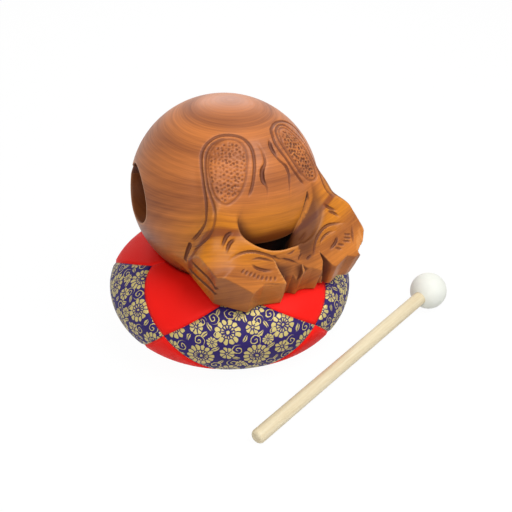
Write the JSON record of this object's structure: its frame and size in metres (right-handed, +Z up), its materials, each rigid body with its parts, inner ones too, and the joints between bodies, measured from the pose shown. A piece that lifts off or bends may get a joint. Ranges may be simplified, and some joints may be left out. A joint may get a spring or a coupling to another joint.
{
  "type": "mokugyo wooden fish",
  "caption": "Hollow carved wooden fish drum with a two-headed handle, on a round patchwork cushion, with a ball-headed mallet lying in front of it.",
  "frame": {"origin": "on the floor, under the middle of the cushion's flat base", "axes": "+Z up; the handle of the fish points to -Y; +X to the right of someone facing the handle"},
  "size_m": [0.211, 0.2003, 0.156],
  "materials": {
    "camphor_wood": "satin",
    "red_satin": "satin",
    "violet_brocade": "woven",
    "cotton_stuffing": "matte",
    "mallet_wood": "satin",
    "mallet_rubber": "matte"
  },
  "bodies": {
    "cushion": {"stuffing": "cotton_stuffing", "red_top_patch_1": "red_satin", "red_top_patch_2": "red_satin", "red_top_patch_3": "red_satin", "red_top_patch_4": "red_satin", "red_top_patch_5": "red_satin", "brocade_patch_1": "violet_brocade", "brocade_patch_2": "violet_brocade", "brocade_patch_3": "violet_brocade", "brocade_patch_4": "violet_brocade", "brocade_patch_5": "violet_brocade", "red_base_patch_1": "red_satin", "red_base_patch_2": "red_satin", "red_base_patch_3": "red_satin", "red_base_patch_4": "red_satin", "red_base_patch_5": "red_satin"},
    "fish": {"wooden_fish": "camphor_wood"},
    "mallet": {"mallet_stick": "mallet_wood", "mallet_head": "mallet_rubber"}
  },
  "joints": [
    {"name": "fish_lift", "type": "slide", "parent": "cushion", "child": "fish", "axis": [0, 0, 1], "range_m": [0, 0.12]},
    {"name": "mallet_lift", "type": "slide", "parent": "cushion", "child": "mallet", "axis": [0, 0, 1], "range_m": [0, 0.15]}
  ]
}
